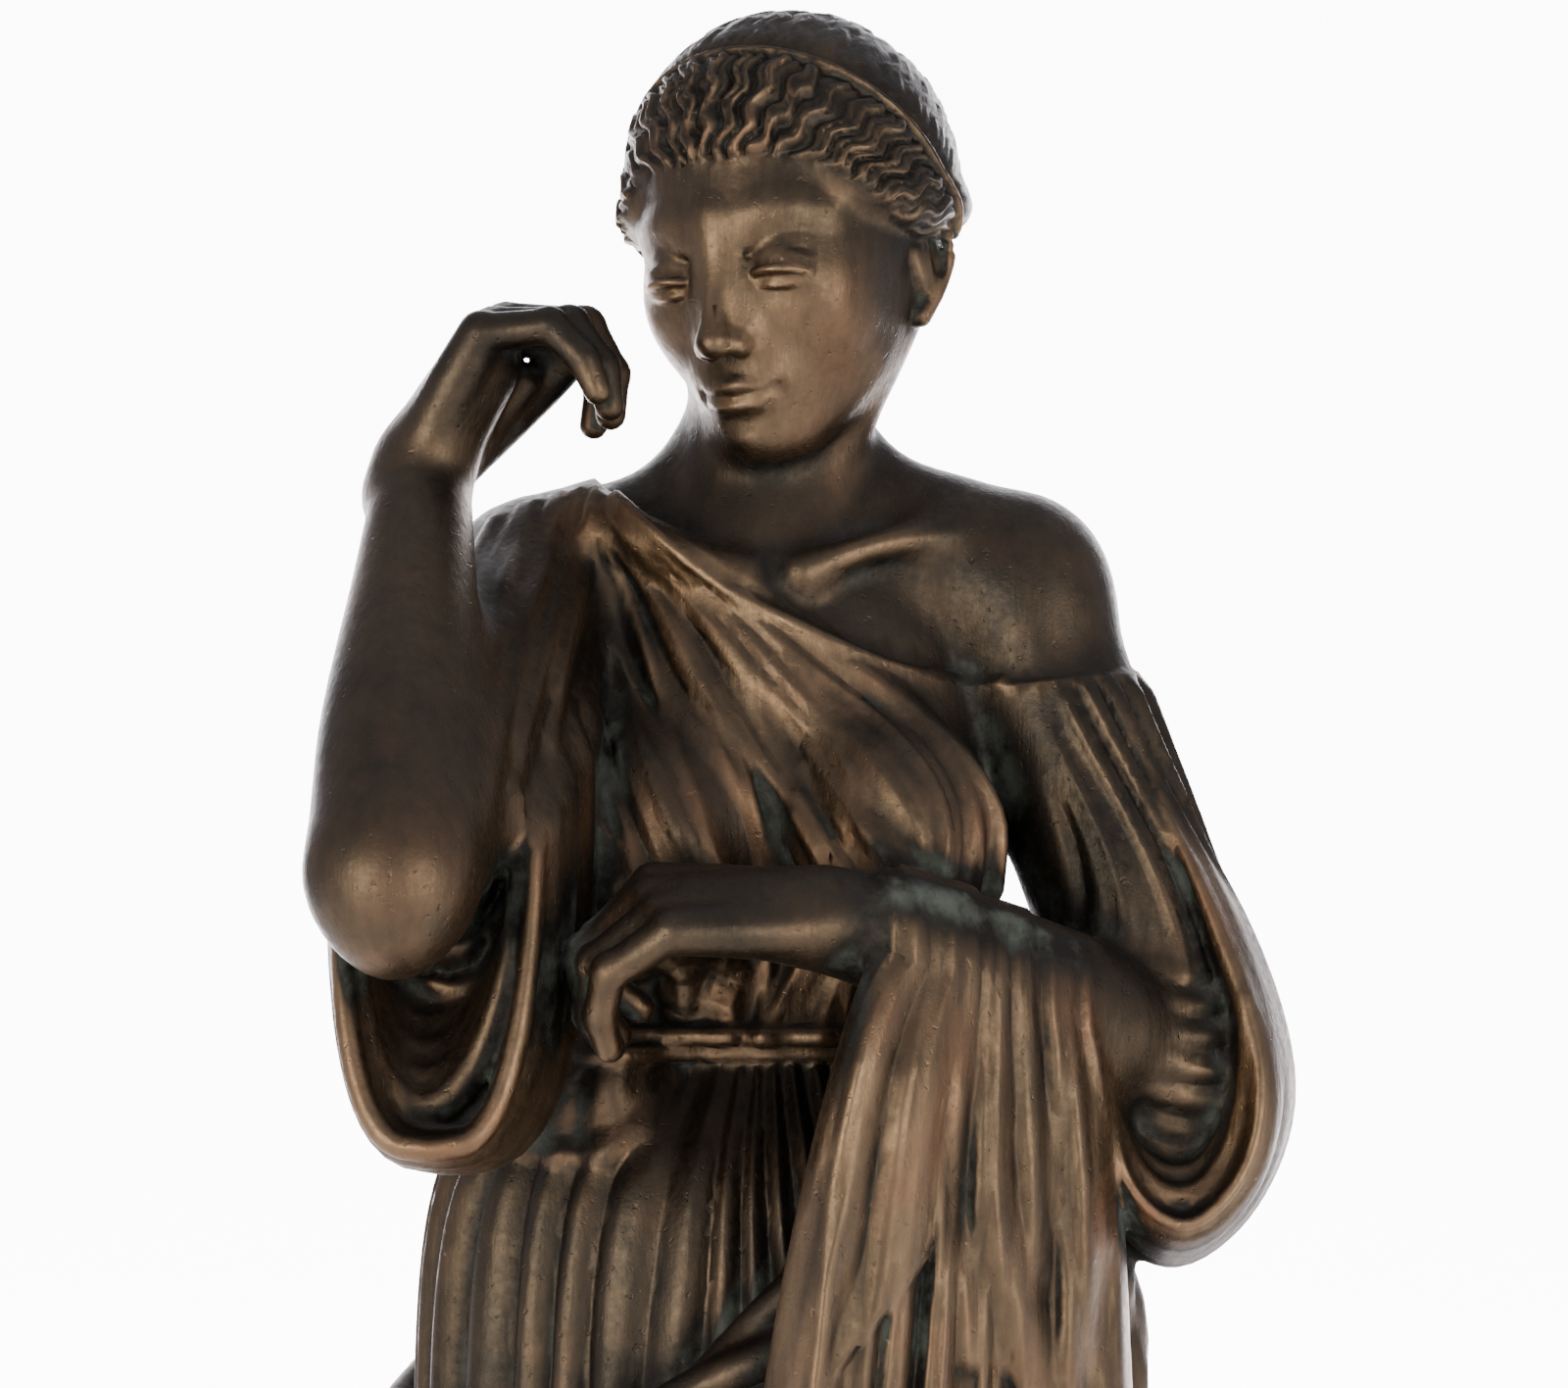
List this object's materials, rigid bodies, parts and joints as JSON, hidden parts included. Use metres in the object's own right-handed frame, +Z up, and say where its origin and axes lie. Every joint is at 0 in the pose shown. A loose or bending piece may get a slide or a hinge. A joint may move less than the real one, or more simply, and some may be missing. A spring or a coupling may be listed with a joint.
{
  "type": "bronze statue",
  "caption": "Small bronze of a standing woman in a belted, draped tunic and mantle, one forearm raised and one across the waist, on a low round turned plinth.",
  "frame": {"origin": "middle of the plinth's underside, on the surface the statue stands on", "axes": "+Z up through the figure, -Y the way the figure's body faces, +X towards the figure's left"},
  "size_m": [0.1816, 0.176, 0.6331],
  "materials": {
    "figure_bronze": "cast bronze with a worn dark brown patina and green in the hollows",
    "plinth_bronze": "turned and cast bronze with a dark brown patina, rubbed on its edges"
  },
  "bodies": {
    "root": {"figure": "figure_bronze", "plinth": "plinth_bronze"}
  },
  "joints": []
}
